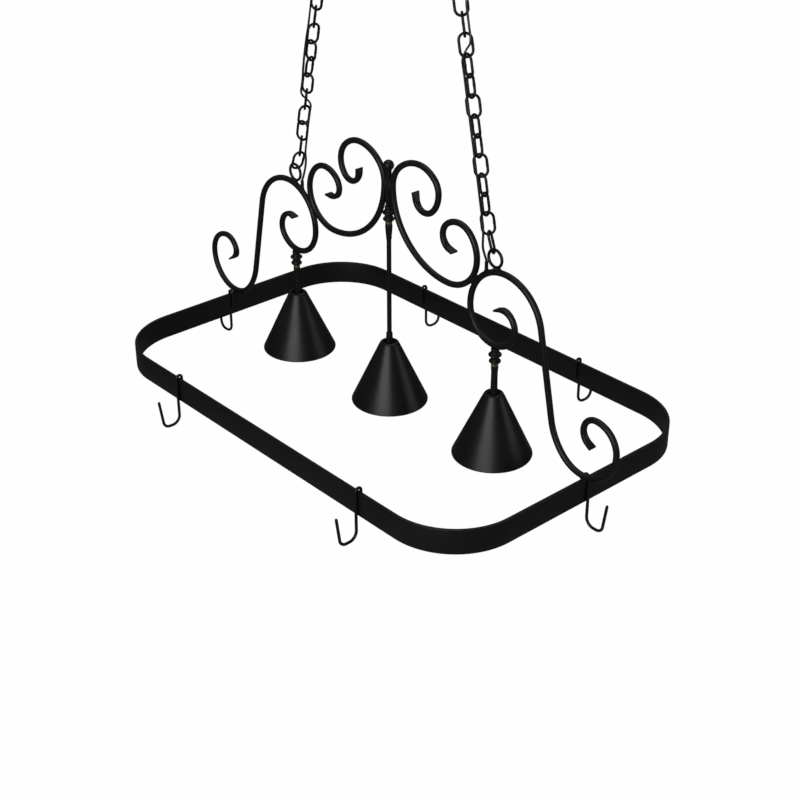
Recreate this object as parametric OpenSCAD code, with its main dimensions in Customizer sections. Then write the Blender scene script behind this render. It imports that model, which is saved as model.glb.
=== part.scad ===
// Hanging pot rack with three downlights: a flat iron band hung on edge, S and C scrolls
// standing over its long axis, two chains to the ceiling and loose hooks on the band.
// The origin is on the ceiling, midway between the two hanger studs; +X is the long axis.

/* [Band] */
// Length of the band over its outer faces
band_len = 838; // [700:1:1000]
// Width of the band over its outer faces
band_wid = 522; // [400:1:640]
// Height of the flat bar
band_h = 40; // [30:0.5:50]
// Thickness of the flat bar
band_t = 4.8; // [3:0.1:8]
// Outer radius of the corners
corner_r = 112; // [60:1:150]

/* [Scrollwork] */
// Diameter of the round rod that the scrolls are bent from
rod_d = 9.5; // [7:0.1:12]
// Width of the hammered scroll ends
tip_w = 14; // [10:0.5:24]
// Thickness of the hammered scroll ends
tip_t = 3; // [2:0.1:5]
// Length over which the rod flattens towards its end
tip_len = 34; // [20:1:60]
// Diameter of the centre post
post_d = 9.5; // [7:0.1:14]
// Diameter of the finial ball
ball_d = 17; // [12:0.5:26]
// Height at which the inner scrolls touch the post, above their feet
post_touch_h = 319; // [290:1:350]

/* [Chains] */
// Number of links in each chain, without the top link
link_count = 13; // [6:1:30]
// Length of a link over its ends
link_len = 35.8; // [28:0.1:50]
// Width of a link over its sides
link_wid = 22; // [20:0.1:30]
// Wire diameter of a link
link_d = 4; // [3:0.1:6]
// Outer diameter of the eye rings on the scrolls
eye_d = 31; // [24:0.5:44]
// Wire diameter of the eye rings
eye_wire = 4.5; // [3:0.1:7]
// Play of the lowest link on its eye ring
eye_play = 0.9; // [0.3:0.1:1.5]
// Diameter of the lamp wire
wire_d = 3.4; // [2.6:0.1:4]

/* [Ceiling] */
// Distance between the two hanger studs
stud_spacing = 281; // [200:1:420]
// Diameter of the hanger studs
stud_d = 6; // [5:0.5:10]
// Length of stud above the ceiling
stud_up = 36; // [20:1:60]
// Diameter of a canopy
canopy_d = 112; // [90:1:140]
// Depth of a canopy
canopy_h = 24; // [16:1:40]
// Wall of a canopy
canopy_wall = 1.2; // [0.8:0.1:2.5]
// Outer diameter of the ceiling loop
loop_d = 30; // [24:0.5:44]
// Wire diameter of the ceiling loop
loop_wire = 5; // [4:0.1:8]
// Diameter of the loop's threaded collar
collar_d = 16; // [12:0.5:24]
// Height of the loop's threaded collar
collar_h = 12; // [8:0.5:20]

/* [Lights] */
// Length of a side light's stem, between the brass collar and the cup
stem_len = 29.6; // [14:0.1:60]
// Diameter of a shade at its rim
shade_d = 123; // [90:1:160]
// Height of a shade
shade_h = 103; // [70:1:130]
// Diameter of a shade at its shoulder
shoulder_d = 31.5; // [31:0.5:50]
// Wall of a shade
shade_wall = 0.9; // [0.6:0.1:2]
// Hole in the top of a shade
shade_hole_d = 22.4; // [19:0.1:23]
// Diameter of the bulb's globe
bulb_d = 45; // [35:0.5:55]
// Diameter of the bulb's screw base
base_d = 26.4; // [20:0.1:27]
// Length of the bulb's screw base
base_len = 20; // [16:0.5:26]
// Diameter of the lampholder
holder_d = 35; // [32:0.5:40]
// Height of the lampholder
holder_h = 28; // [24:0.5:34]
// Diameter of the larger ring on the turned knuckles
knuckle_d = 20; // [17:0.2:26]
// Height of a turned knuckle
knuckle_h = 24; // [20:0.5:32]
// Visible height of the brass collar under a knuckle
brass_h = 3.5; // [2:0.5:8]
// Diameter of the stems where they meet the knuckles
stem_d = 11.4; // [9:0.1:14]
// Diameter of the centre down rod
down_d = 7.4; // [5:0.1:9]

/* [Hooks] */
// Wire diameter of a hook
hook_wire = 4.6; // [3:0.1:6]
// Length of a hook's short leg on the inside of the band
hook_leg = 29; // [15:1:36]
// Length of a hook's shank, from the top of the band to the bend
hook_shank = 65; // [50:1:90]
// Radius of the hook's first bend, to the wire's middle
hook_r = 14; // [10:0.5:24]
// Length of the hook's rising end
hook_tip = 40; // [20:1:60]
// Places of the hooks on the front, along X
hooks_front = [-215, 228];
// Places of the hooks on the back, along X
hooks_back = [-201, 171];
// Places of the hooks on the left and the right short side, along Y
hooks_side = [-10, 8];

/* [Hidden] */
$fn = 48;

iron = [0.07, 0.07, 0.075];
brass = [0.72, 0.55, 0.30];
steel = [0.62, 0.62, 0.64];
bakelite = [0.16, 0.12, 0.10];
glass = [0.93, 0.93, 0.90];
clear_wire = [0.55, 0.53, 0.50];

seat = 0.15;                 // gap between pieces that are welded or rest on each other
fit = 0.05;                  // radial clearance of a spigot in its bore
link_gap = 0.3;              // gap between neighbouring links
loop_gap = 0.8;              // gap between the top link and its ceiling loop
step = 10;                   // most degrees of bend between two rings of a scroll
rod_sides = 12;              // sides of a scroll rod's mesh

// ---- scroll curves: a walk in the X-Z plane, each step [radius, degrees], left turn positive;
// ---- a step with radius 0 is a straight of that length; the two sides' ends are bent by hand
span = band_len / 2 - band_t / 2;
design_span = 416.6;         // the radii below are for this span
k = span / design_span;
foot = [span, band_h / 2 + rod_d / 2 + seat];
foot_left = [[57, 93], [42, 84], [26.5, 72], [16, 76], [0, 9.6]];
foot_right = [[57, 90], [40, 90], [22, 90], [22, 60], [0, 9]];
rise = post_touch_h - 184;    // the outer scroll's straight grows with the inner scrolls
outer_rise = [[58, -45], [93, -33], [0, rise]];
outer_crown = [[75.9, 78]];
loop_r = 68;
outer_loop = [[loop_r, 90], [50, 90]];
outer_left = [[44, 47], [27, 51], [27, 62], [16.5, 34], [0, 8.8]];
outer_right = [[45.6, 46], [32.3, 35], [27, 67.5], [20.5, 48.5], [0, 9.2]];
inner_belly = [[112, 45], [126, 45]];
shoulder_r = 53;
inner_shoulder = [[63, 45]];
inner_left = [[shoulder_r, 45], [50, 45], [36.3, 47], [38.7, 42], [24.5, 38], [17.3, 105], [0, 9]];
inner_right = [[shoulder_r, 45], [50, 45], [34, 45], [39, 38], [24, 45], [20.6, 83.5], [0, 9]];
crest_left = [[44, -45], [63, -45], [48, -45], [36, -41], [34, -45], [21, -47], [19, -90], [0, 7]];
crest_right = [[44, -45], [63, -45], [48, -45], [29, -44], [41, -48], [24, -42], [19, -82], [0, 11.5]];

function turned(p, r, s) =
    r == 0 ? [p[0] + k * s * cos(p[2]), p[1] + k * s * sin(p[2]), p[2]]
    : let (h = p[2] + s, q = sign(s) * r * k)
      [p[0] + q * (sin(h) - sin(p[2])), p[1] + q * (cos(p[2]) - cos(h)), h];
function walked(p, segs, i = 0) =
    i == len(segs) ? p : walked(turned(p, segs[i][0], segs[i][1]), segs, i + 1);
function part_steps(seg) = seg[0] == 0 ? max(1, ceil(seg[1] / 24)) : ceil(abs(seg[1]) / step);
function walk(p, segs, i = 0) =
    i == len(segs) ? [p]
    : let (n = part_steps(segs[i]))
      concat([for (j = [0:n - 1]) turned(p, segs[i][0], segs[i][1] * j / n)],
             walk(turned(p, segs[i][0], segs[i][1]), segs, i + 1));
function reversed(v) = [for (i = [len(v) - 1:-1:0]) v[i]];
function tail(v) = [for (i = [1:len(v) - 1]) v[i]];

foot_in = [foot[0], foot[1], 180];
crown = walked(foot_in, concat(outer_rise, outer_crown));
loop_low = walked(crown, outer_loop);
loop_mid = [crown[0], crown[1] - loop_r * k];
function outer_path(feet, curl) = concat(reversed(walk([foot[0], foot[1], 0], feet)),
    tail(walk(foot_in, concat(outer_rise, outer_crown, outer_loop, curl))));

// the inner scroll starts on the post and is let out at its lowest point by the length that
// brings its shoulder against the outer scroll's loop
post_touch = [post_d / 2 + rod_d / 2 + seat, foot[1] + post_touch_h * k];
belly_end = walked([post_touch[0], post_touch[1], -90], inner_belly);
shoulder_start = walked(belly_end, inner_shoulder);
shoulder_mid = [shoulder_start[0] - shoulder_r * k * sin(shoulder_start[2]),
    shoulder_start[1] + shoulder_r * k * cos(shoulder_start[2])];
touch_dist = (loop_r + shoulder_r) * k + rod_d + seat;
let_out = loop_mid[0] - shoulder_mid[0]
    - sqrt(pow(touch_dist, 2) - pow(loop_mid[1] - shoulder_mid[1], 2));
function inner_path(crest, curl) = concat(reversed(walk([post_touch[0], post_touch[1], 90], crest)),
    tail(walk([post_touch[0], post_touch[1], -90],
        concat(inner_belly, [[0, let_out / k]], inner_shoulder, curl))));

// ---- where things hang
eye_angle = 13;              // eye ring, measured back from the top of the outer scroll
eye_reach = loop_r * k + rod_d / 2 + seat + eye_d / 2;
eye = [loop_mid[0] - eye_reach * sin(eye_angle), loop_mid[1] + eye_reach * cos(eye_angle)];
eye_mean = (eye_d - eye_wire) / 2;
first_s = eye_mean - eye_wire / 2 - link_d / 2 - eye_play;
pitch = link_len - 2 * link_d - link_gap;
side_step = 6.2;             // the chain's line passes the eye on the inside by this much
link_tilt = asin(side_step / (first_s + link_len - link_d));   // so its lowest link leans over
second_s = (first_s + link_len - link_d) * cos(link_tilt) - link_d - link_gap;
sway_s = second_s + (link_count - 1) * pitch;
pivot_s = sway_s + link_len - link_d - link_d / 2 - loop_wire / 2 - loop_gap;
pivot_z = -(canopy_h + collar_h + loop_d - loop_wire / 2 - loop_wire / 2);
lean = asin((eye[0] - stud_spacing / 2) / norm([pivot_s, side_step])) - atan(side_step / pivot_s);
band_z = pivot_z - pivot_s * cos(lean) + side_step * sin(lean) - eye[1];
light_x = loop_low[0] + 4;
centre_drop = 4.4;           // the centre shade hangs this much lower than the side ones
side_top = loop_low[1] - rod_d / 2 - seat;
post_below = 35.4;
post_above = 30;
post_foot = post_touch[1] - post_below;
finial_z = post_touch[1] + post_above;

// ---- link planes, in degrees from the plane of the scrolls, lowest link first
turns_left = [78, 138, 18, 78, 138, 18, 108, 8, 78, 138, 18, 78, 138];
turns_right = [124, 48, 108, 168, 48, 108, 168, 48, 108, 168, 48, 138, 48];
top_turns = [78, 115];

// ---- lamp wire routes: [along the chain from the eye, across in the scroll plane, along Y]
run_left = [[362, -5.5, -6.1], [340, -5.5, -6.1], [318, -5.5, -6.1], [296, -5.5, -6.1],
    [274, -5.5, -6.1], [256, -5.6, -6.3], [242, -6, -6.7], [228, -6.3, -7], [214, -6.4, -7.1],
    [200, -6.4, -7.1], [186, -6.2, -6.8], [172, -5.8, -6.4], [159, -5.6, -6.2], [150, -5.8, -6.5],
    [144, -5.6, -6.2], [139, -3.7, -4.1], [134.5, 0, 0], [130, 3.7, 4.1], [125, 5.6, 6.2],
    [119, 5.8, 6.5], [110, 5.6, 6.2], [90, 5.5, 6.1], [75, 5.5, 6.1], [60, 5.5, 6.1],
    [48, 5.5, 6.1], [38, 6.1, 6.4]];
run_right = [[362, 9.3, 4], [352, 8.2, 2.7], [338, 7.9, 2.6], [322, 7.9, 2.6], [308, 8, 2.5],
    [300, 8.3, -0.3], [294, 6.7, -6], [287, 3, -8.7], [280, -0.6, -9.2], [272, -1.8, -8.5],
    [258, -1.8, -8.1], [240, -1.8, -8.1], [220, -1.8, -8.1], [200, -1.8, -8.1], [180, -1.8, -8.1],
    [160, -1.8, -8.1], [140, -1.8, -8.1], [120, -1.8, -8.1], [100, -1.8, -8.1], [80, -1.8, -8.1],
    [60, -1.8, -8.1], [48, -1.9, -8.3], [38, -2.5, -9], [28, -4.5, -9.4], [16, -9.2, -6.8]];
// the stretch past the top link
bend_left = [[sway_s + 14, -8, -8.6], [sway_s + 6, -6.6, -7.3]];
bend_right = [[sway_s + 14, 10, 6.5], [sway_s + 6, 10, 5]];
// the last stretch, from the chain into the inlet
tail_left = [[38, 6.1, 6.4], [28, 7.6, 7.4], [15, 10.2, 5.5], [3, 12.2, 2.2]];
tail_right = [[16, -9.2, -6.8], [3, -12, -2.4]];
bushing_at = 14;             // the wire bushing's place from the stud, in X and in Y
bend_at = 8;                 // the wire's place beside the ceiling loop, in X and in Y
inlet_angle = 33;            // wire inlet, measured back from the top of the outer scroll
inlet_top = 19;              // top of the inlet above the rod's middle

function on_chain(side, p) = [
    side * (eye[0] - side_step * cos(lean) - p[0] * sin(lean)) + p[1] * cos(lean), p[2],
    band_z + eye[1] - side_step * sin(lean) + p[0] * cos(lean) + side * p[1] * sin(lean)];
function inlet_mouth(side) = [side * (loop_mid[0] - loop_r * k * sin(inlet_angle)), 0,
    band_z + loop_mid[1] + loop_r * k * cos(inlet_angle) + inlet_top];

// ---- sweeps
function unit(v) = v / norm(v);
function along(pts, i) = unit(pts[min(i + 1, len(pts) - 1)] - pts[max(i - 1, 0)]);
function run_length(pts, i = 0, sum = 0) =
    i >= len(pts) - 1 ? concat([sum], [])
    : concat([sum], run_length(pts, i + 1, sum + norm(pts[i + 1] - pts[i])));
function ring_faces(rings, n) = concat(
    [[for (j = [0:n - 1]) j]],
    [for (i = [0:rings - 2], j = [0:n - 1])
        [i * n + j, (i + 1) * n + j, (i + 1) * n + (j + 1) % n, i * n + (j + 1) % n]],
    [[for (j = [n - 1:-1:0]) (rings - 1) * n + j]]);

// a scroll rod: round in the middle, hammered wide and thin at both ends
module scroll(path) {
    p = [for (q = path) [q[0], 0, q[1]]];
    dist = run_length(p);
    total = dist[len(dist) - 1];
    function flat(i) = pow(1 - min(1, min(dist[i], total - dist[i]) / tip_len), 1.6);
    pts = [for (i = [0:len(p) - 1])
        let (t = along(p, i), n = cross(t, [0, 1, 0]), f = flat(i),
             a = (rod_d + f * (tip_t - rod_d)) / 2, b = (rod_d + f * (tip_w - rod_d)) / 2)
        for (j = [0:rod_sides - 1])
            let (w = 360 * j / rod_sides) p[i] + n * a * cos(w) + [0, b * sin(w), 0]];
    color(iron) translate([0, 0, band_z])
        polyhedron(pts, ring_faces(len(p), rod_sides), convexity = 10);
}

// a lamp wire through its route's points
module wire(pts, first_dir, last_dir) {
    n = 8;
    last = len(pts) - 1;
    rings = [for (i = [0:last])
        let (t = i == 0 ? unit(first_dir) : i == last ? unit(last_dir) : along(pts, i),
             e = unit(cross(t, [1, 0, 0])), g = cross(t, e))
        for (j = [0:n - 1])
            let (w = 360 * j / n) pts[i] + (e * cos(w) + g * sin(w)) * wire_d / 2];
    color(clear_wire) polyhedron(rings, ring_faces(len(pts), n), convexity = 10);
}

module in_rack() { translate([0, 0, band_z]) children(); }
module upright() { rotate([90, 0, 0]) children(); }
module torus(mean_r, d) { rotate_extrude() translate([mean_r, 0]) circle(d = d); }
module turned_part(outline) { rotate_extrude() polygon(outline); }

// ---- band
module rounded(l, w, r) {
    square([l, w - 2 * r], center = true);
    square([l - 2 * r, w], center = true);
    for (x = [-1, 1], y = [-1, 1])
        translate([x * (l / 2 - r), y * (w / 2 - r)]) circle(r, $fn = 120);
}
module rim_band() {
    color(iron) translate([0, 0, band_z - band_h / 2]) linear_extrude(band_h) difference() {
        rounded(band_len, band_wid, corner_r);
        rounded(band_len - 2 * band_t, band_wid - 2 * band_t, corner_r - band_t);
    }
}

// ---- scrollwork
module scroll_outer_right() { scroll(outer_path(foot_right, outer_right)); }
module scroll_outer_left() { mirror([1, 0, 0]) scroll(outer_path(foot_left, outer_left)); }
module scroll_inner_right() { scroll(inner_path(crest_right, inner_right)); }
module scroll_inner_left() { mirror([1, 0, 0]) scroll(inner_path(crest_left, inner_left)); }
module finial_ball() {
    color(iron) in_rack() translate([0, 0, finial_z]) rotate_extrude() intersection() {
        union() {
            circle(d = ball_d);
            translate([0, -ball_d / 2 - 2]) square([post_d / 2, ball_d / 2]);
        }
        translate([0, -ball_d]) square([ball_d, 2 * ball_d]);
    }
}
module centre_post() {
    color(iron) in_rack() translate([0, 0, post_foot])
        cylinder(h = finial_z - ball_d / 2 - 2 - seat - post_foot, d = post_d);
}
module eye_ring(side) {
    color(iron) in_rack() translate([side * eye[0], 0, eye[1]]) upright() torus(eye_mean, eye_wire);
}
module eye_ring_left() { eye_ring(-1); }
module eye_ring_right() { eye_ring(1); }
module wire_inlet(side) {
    mouth = inlet_mouth(side);
    bore_d = wire_d + 0.4;
    color(iron) difference() {
        translate([mouth[0], 0, mouth[2] - inlet_top]) cylinder(h = inlet_top, d = wire_d + 2);
        translate([mouth[0], 0, mouth[2] - inlet_top / 2]) cylinder(h = inlet_top, d = bore_d);
        translate([mouth[0], 0, mouth[2] - inlet_top]) rotate([0, 90 + side * inlet_angle * -1, 0])
            cylinder(h = 60, d = rod_d + 2 * seat, center = true);
    }
}
module wire_inlet_left() { wire_inlet(-1); }
module wire_inlet_right() { wire_inlet(1); }

// ---- chains
module half_ring(r, d) { rotate_extrude(angle = 180) translate([r, 0]) circle(d = d, $fn = 32); }
module link() {
    mean = (link_wid - link_d) / 2;
    side = link_len - link_wid;
    translate([0, 0, side / 2]) rotate([90, 0, 0]) half_ring(mean, link_d);
    translate([0, 0, -side / 2]) rotate([-90, 0, 0]) half_ring(mean, link_d);
    for (s = [-1, 1])
        translate([s * mean, 0, -side / 2]) cylinder(h = side, d = link_d, $fn = 32);
}
module chain_link(side, at_s, turn) {
    translate(on_chain(side, [at_s, 0, 0])) rotate([0, -side * lean, 0]) rotate([0, 0, turn])
        translate([0, 0, (link_len - link_d) / 2]) link();
}
module chain(side, turns) {
    color(iron) {
        translate([side * eye[0], 0, band_z + eye[1]]) rotate([0, -side * (lean + link_tilt), 0])
            rotate([0, 0, turns[0]]) translate([0, 0, first_s + (link_len - link_d) / 2]) link();
        for (i = [1:link_count - 1])
            chain_link(side, second_s + (i - 1) * pitch, turns[i % len(turns)]);
    }
}
module chain_left() { chain(-1, turns_left); }
module chain_right() { chain(1, turns_right); }
module top_link_left() { color(iron) chain_link(-1, sway_s, top_turns[0]); }
module top_link_right() { color(iron) chain_link(1, sway_s, top_turns[1]); }

// ---- ceiling fittings; the stud is thinner where it goes through the canopy
stud_low_d = stud_d - 1.2;
stud_step = 8;
collar_floor = 4;            // metal left under the stud in the loop's collar
bushing_wall = 2;
bushing_len = 8;
module ceiling_loop(side) {
    collar_z = -canopy_h - seat;
    color(iron) translate([side * stud_spacing / 2, 0, 0]) {
        difference() {
            translate([0, 0, collar_z - collar_h]) cylinder(h = collar_h, d = collar_d);
            translate([0, 0, collar_z - collar_h + collar_floor])
                cylinder(h = collar_h, d = stud_low_d + 2 * fit);
        }
        translate([0, 0, pivot_z + (loop_d - loop_wire) / 2]) upright()
            torus((loop_d - loop_wire) / 2, loop_wire);
    }
}
module ceiling_loop_left() { ceiling_loop(-1); }
module ceiling_loop_right() { ceiling_loop(1); }
dome_r = (pow(canopy_d / 2, 2) + pow(canopy_h, 2)) / (2 * canopy_h);
module canopy(side) {
    color(iron) translate([side * stud_spacing / 2, 0, 0]) difference() {
        rotate_extrude() intersection() {
            translate([0, dome_r - canopy_h]) difference() {
                circle(dome_r, $fn = 120);
                circle(dome_r - canopy_wall, $fn = 120);
            }
            translate([stud_d / 2 + 2 * seat, -canopy_h - 1]) square([canopy_d, canopy_h + 1]);
        }
        translate([side * bushing_at, side * bushing_at, -canopy_h - 1])
            cylinder(h = canopy_h, d = wire_d + 2 * (bushing_wall + seat));
    }
}
module canopy_left() { canopy(-1); }
module canopy_right() { canopy(1); }
module hanger_stud(side) {
    low = -canopy_h - collar_h + collar_floor + seat;
    color(steel) translate([side * stud_spacing / 2, 0, 0]) {
        translate([0, 0, low]) cylinder(h = 1 - stud_step - low, d = stud_low_d);
        translate([0, 0, -stud_step]) cylinder(h = stud_up + stud_step, d = stud_d);
    }
}
module hanger_stud_left() { hanger_stud(-1); }
module hanger_stud_right() { hanger_stud(1); }
bushing_low = -canopy_h - 1.5;
module wire_bushing(side) {
    color(bakelite) translate([side * (stud_spacing / 2 + bushing_at), side * bushing_at, bushing_low])
        turned_part([[wire_d / 2 + fit, 0], [wire_d / 2 + bushing_wall * 1.7, 0],
            [wire_d / 2 + bushing_wall * 1.7, 1.6], [wire_d / 2 + bushing_wall, 1.6],
            [wire_d / 2 + bushing_wall, bushing_len], [wire_d / 2 + fit, bushing_len]]);
}
module wire_bushing_left() { wire_bushing(-1); }
module wire_bushing_right() { wire_bushing(1); }

// ---- lamp wires, from the canopy to the scroll
down = [0, 0, -1];
function bend_top(side) = [side * (stud_spacing / 2 + bend_at), side * bend_at, pivot_z];
function way(side) = [side * sin(lean), 0, -cos(lean)];
module wire_entry(side) {
    x = side * stud_spacing / 2;
    wire([[x + side * bushing_at, side * bushing_at, bushing_low + 7],
        [x + side * bushing_at, side * bushing_at, bushing_low - 4],
        [x + side * 13, side * 13, -40], [x + side * 10, side * 10, -51],
        bend_top(side)], down, down);
}
module wire_entry_left() { wire_entry(-1); }
module wire_entry_right() { wire_entry(1); }
module wire_bend(side, past, run) {
    wire(concat([bend_top(side) - [0, 0, seat]], [for (p = past) on_chain(side, p)],
        [on_chain(side, run[0] + [seat, 0, 0])]), down, way(side));
}
module wire_bend_left() { wire_bend(-1, bend_left, run_left); }
module wire_bend_right() { wire_bend(1, bend_right, run_right); }
module wire_run(side, run) {
    wire([for (p = run) on_chain(side, p)], way(side), way(side));
}
module wire_left() { wire_run(-1, run_left); }
module wire_right() { wire_run(1, run_right); }
module wire_tail(side, run) {
    wire(concat([for (i = [0:len(run) - 1]) on_chain(side, run[i] - (i == 0 ? [seat, 0, 0] : [0, 0, 0]))],
        [inlet_mouth(side), inlet_mouth(side) - [0, 0, 9]]), way(side), down);
}
module wire_tail_left() { wire_tail(-1, tail_left); }
module wire_tail_right() { wire_tail(1, tail_right); }

// ---- lights; every height here is measured from the middle of the band
cup_neck = 15;
cup_skirt = 20;
cup_top = side_top - knuckle_h - brass_h - 3 * seat - stem_len;
shade_top = cup_top - cup_neck;
rim_z = shade_top - shade_h;
cup_low = shade_top - cup_skirt;
shoulder_round = 4;
spigot_d = 6;
spigot_len = 8;
function drop(i) = i == 0 ? centre_drop : 0;
module at_light(i) { in_rack() translate([i * light_x, 0, 0]) children(); }
module at_shade(i) { at_light(i) translate([0, 0, -drop(i)]) children(); }
function hang_top(i) = i == 0 ? post_foot - seat : side_top;
bead = 2.5;                  // radius of the larger ring's edge
module knuckle(i) {
    r = knuckle_d / 2;
    color(iron) at_light(i) translate([0, 0, hang_top(i) - knuckle_h]) difference() {
        rotate_extrude() intersection() {
            union() {
                translate([0, bead]) square([r * 0.64, knuckle_h - bead]);
                polygon([[0, 0], [stem_d / 2, 0], [r * 0.7, bead], [0, bead]]);
                translate([r - bead, knuckle_h * 0.61]) circle(bead);
                translate([0, knuckle_h * 0.61 - bead]) square([r - bead, 2 * bead]);
                translate([r * 0.92 - bead, knuckle_h * 0.17]) circle(bead * 0.92);
                translate([0, knuckle_h * 0.17 - bead * 0.92]) square([r * 0.92 - bead, bead * 1.84]);
            }
            square([r + 1, knuckle_h]);
        }
        translate([0, 0, -1]) cylinder(h = spigot_len + 1.5, d = spigot_d + 2 * fit);
    }
}
module knuckle_left() { knuckle(-1); }
module knuckle_centre() { knuckle(0); }
module knuckle_right() { knuckle(1); }
module brass_collar(i) {
    color(brass) at_light(i) translate([0, 0, hang_top(i) - knuckle_h - seat - brass_h]) {
        cylinder(h = brass_h, d = stem_d - 0.6);
        translate([0, 0, -spigot_len]) cylinder(h = 2 * spigot_len + brass_h, d = spigot_d);
    }
}
module brass_collar_left() { brass_collar(-1); }
module brass_collar_centre() { brass_collar(0); }
module brass_collar_right() { brass_collar(1); }
module stem(i) {
    top = hang_top(i) - knuckle_h - brass_h - 2 * seat;
    r = stem_d / 2;
    h = top - cup_top - seat;
    color(iron) at_light(i) translate([0, 0, top - h]) difference() {
        union() {
            turned_part([[0, 0], [r * 0.9, 0], [r * 0.88, h * 0.3], [r * 0.88, h * 0.68],
                [r * 0.98, h * 0.9], [r * 0.96, h], [0, h]]);
            translate([0, 0, -spigot_len]) cylinder(h = spigot_len + 1, d = spigot_d);
        }
        translate([0, 0, h - spigot_len - 0.5]) cylinder(h = spigot_len + 2, d = spigot_d + 2 * fit);
    }
}
module stem_left() { stem(-1); }
module stem_right() { stem(1); }
ferrule_h = 26;
ferrule_top = hang_top(0) - knuckle_h - brass_h - 2 * seat;
module ferrule_centre() {
    r = stem_d / 2;
    color(iron) in_rack() translate([0, 0, ferrule_top - ferrule_h]) difference() {
        turned_part([[0, 0], [down_d / 2 + 0.6, 0], [down_d / 2 + 0.8, 5], [r, ferrule_h - 5],
            [r * 0.96, ferrule_h], [0, ferrule_h]]);
        translate([0, 0, ferrule_h - spigot_len - 0.5])
            cylinder(h = spigot_len + 2, d = spigot_d + 2 * fit);
        translate([0, 0, -1]) cylinder(h = 11, d = down_d + 2 * fit);
    }
}
module down_rod() {
    low = cup_top - spigot_len - drop(0);
    color(iron) in_rack() translate([0, 0, low])
        cylinder(h = ferrule_top - ferrule_h + 9.8 - low, d = down_d);
}
lip_w = 2.2;                 // width of the cup's lip, under the edge of the shade's hole
recess = 6;                  // depth of the groove between the lip and the neck
module socket_cup(i) {
    r = holder_d / 2;
    lip = shade_hole_d / 2;
    neck = stem_d * 0.45;
    bore = i == 0 ? down_d : spigot_d;
    color(iron) at_shade(i) difference() {
        rotate_extrude() polygon([[0, cup_low], [r, cup_low], [r, cup_low + cup_skirt * 0.15],
            [lip + lip_w, shade_top - cup_skirt * 0.45], [lip + lip_w, shade_top - shade_wall - lip_w],
            [lip + 0.3, shade_top - shade_wall - seat], [lip - lip_w / 2, shade_top - shade_wall - seat],
            [lip - lip_w, shade_top - recess], [neck + lip_w / 2, shade_top - recess],
            [neck + lip_w / 4, shade_top], [neck, cup_top - cup_neck / 4], [neck, cup_top], [0, cup_top]]);
        translate([0, 0, cup_top - spigot_len - 0.4]) cylinder(h = spigot_len + 1, d = bore + 2 * fit);
    }
}
module socket_cup_left() { socket_cup(-1); }
module socket_cup_centre() { socket_cup(0); }
module socket_cup_right() { socket_cup(1); }
module lampholder(i) {
    color(bakelite) at_shade(i) translate([0, 0, cup_low - seat - holder_h]) difference() {
        cylinder(h = holder_h, d = holder_d);
        translate([0, 0, -1]) cylinder(h = base_len + 3, d = base_d + 0.8);
    }
}
module lampholder_left() { lampholder(-1); }
module lampholder_centre() { lampholder(0); }
module lampholder_right() { lampholder(1); }
module shade(i) {
    r1 = shade_d / 2;
    r2 = shoulder_d / 2;
    w = shade_wall;
    hole = shade_hole_d / 2;
    q = shoulder_round;
    color(iron) at_shade(i) translate([0, 0, rim_z]) turned_part([[hole, shade_h],
        [r2 - q, shade_h], [r2 - q * 0.4, shade_h - q / 4], [r2, shade_h - q * 0.85], [r1, 0],
        [r1 - w * 1.1, 0], [r2 - w * 1.1, shade_h - q * 0.9], [r2 - q, shade_h - w], [hole, shade_h - w]]);
}
module shade_left() { shade(-1); }
module shade_centre() { shade(0); }
module shade_right() { shade(1); }
module bulb(i) {
    tip = cup_low - seat - holder_h + base_len + 2 - seat;
    mouth = tip - base_len;
    mid = mouth - bulb_d / 2 - 4;
    color(glass) at_shade(i) rotate_extrude() intersection() {
        union() {
            translate([0, mid]) circle(d = bulb_d);
            polygon([[0, mid], [bulb_d * 0.45, mid + bulb_d * 0.217], [base_d * 0.5, mouth - 3],
                [base_d * 0.5, mouth], [0, mouth]]);
            translate([0, mouth - 1]) square([base_d / 2, base_len - 2]);
            translate([0, mouth]) square([base_d / 5, base_len]);
        }
        translate([0, mid - bulb_d]) square([bulb_d, 3 * bulb_d]);
    }
}
module bulb_left() { bulb(-1); }
module bulb_centre() { bulb(0); }
module bulb_right() { bulb(1); }

// ---- pot hooks: a short leg inside the band, over its top, a shank outside and a J outwards
hook_gap = 0.15;             // between the hook's wire and the faces of the band
over_r = band_t / 2 + hook_gap + hook_wire / 2;
low_r = hook_r * 6 / 7;
low_run = 5;
low_turn = 82;
module bend(r, angle) { rotate_extrude(angle = angle) translate([r, 0]) circle(d = hook_wire, $fn = 32); }
// drawn over a band that runs along Y, with its outside towards +X
module pot_hook() {
    low_z = band_h / 2 - hook_shank;
    color(iron) in_rack() {
        translate([0, 0, band_h / 2]) upright() bend(over_r, 180);
        translate([-over_r, 0, band_h / 2 - hook_leg]) cylinder(h = hook_leg, d = hook_wire, $fn = 32);
        translate([over_r, 0, low_z]) cylinder(h = hook_shank, d = hook_wire, $fn = 32);
        translate([over_r + hook_r, 0, low_z]) upright() rotate([0, 0, 180]) bend(hook_r, 90);
        translate([over_r + hook_r, 0, low_z - hook_r]) rotate([0, 90, 0])
            cylinder(h = low_run, d = hook_wire, $fn = 32);
        translate([over_r + hook_r + low_run, 0, low_z - hook_r + low_r]) upright()
            rotate([0, 0, 270]) bend(low_r, low_turn);
        translate([over_r + hook_r + low_run, 0, low_z - hook_r + low_r]) rotate([0, 90 - low_turn, 0])
            translate([low_r, 0, 0]) {
                cylinder(h = hook_tip, d = hook_wire, $fn = 32);
                sphere(d = hook_wire + 0.05, $fn = 32);
            }
    }
}
module hook_on_long(x, side) {
    translate([x, side * (band_wid - band_t) / 2, 0]) rotate([0, 0, side * 90]) pot_hook();
}
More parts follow.
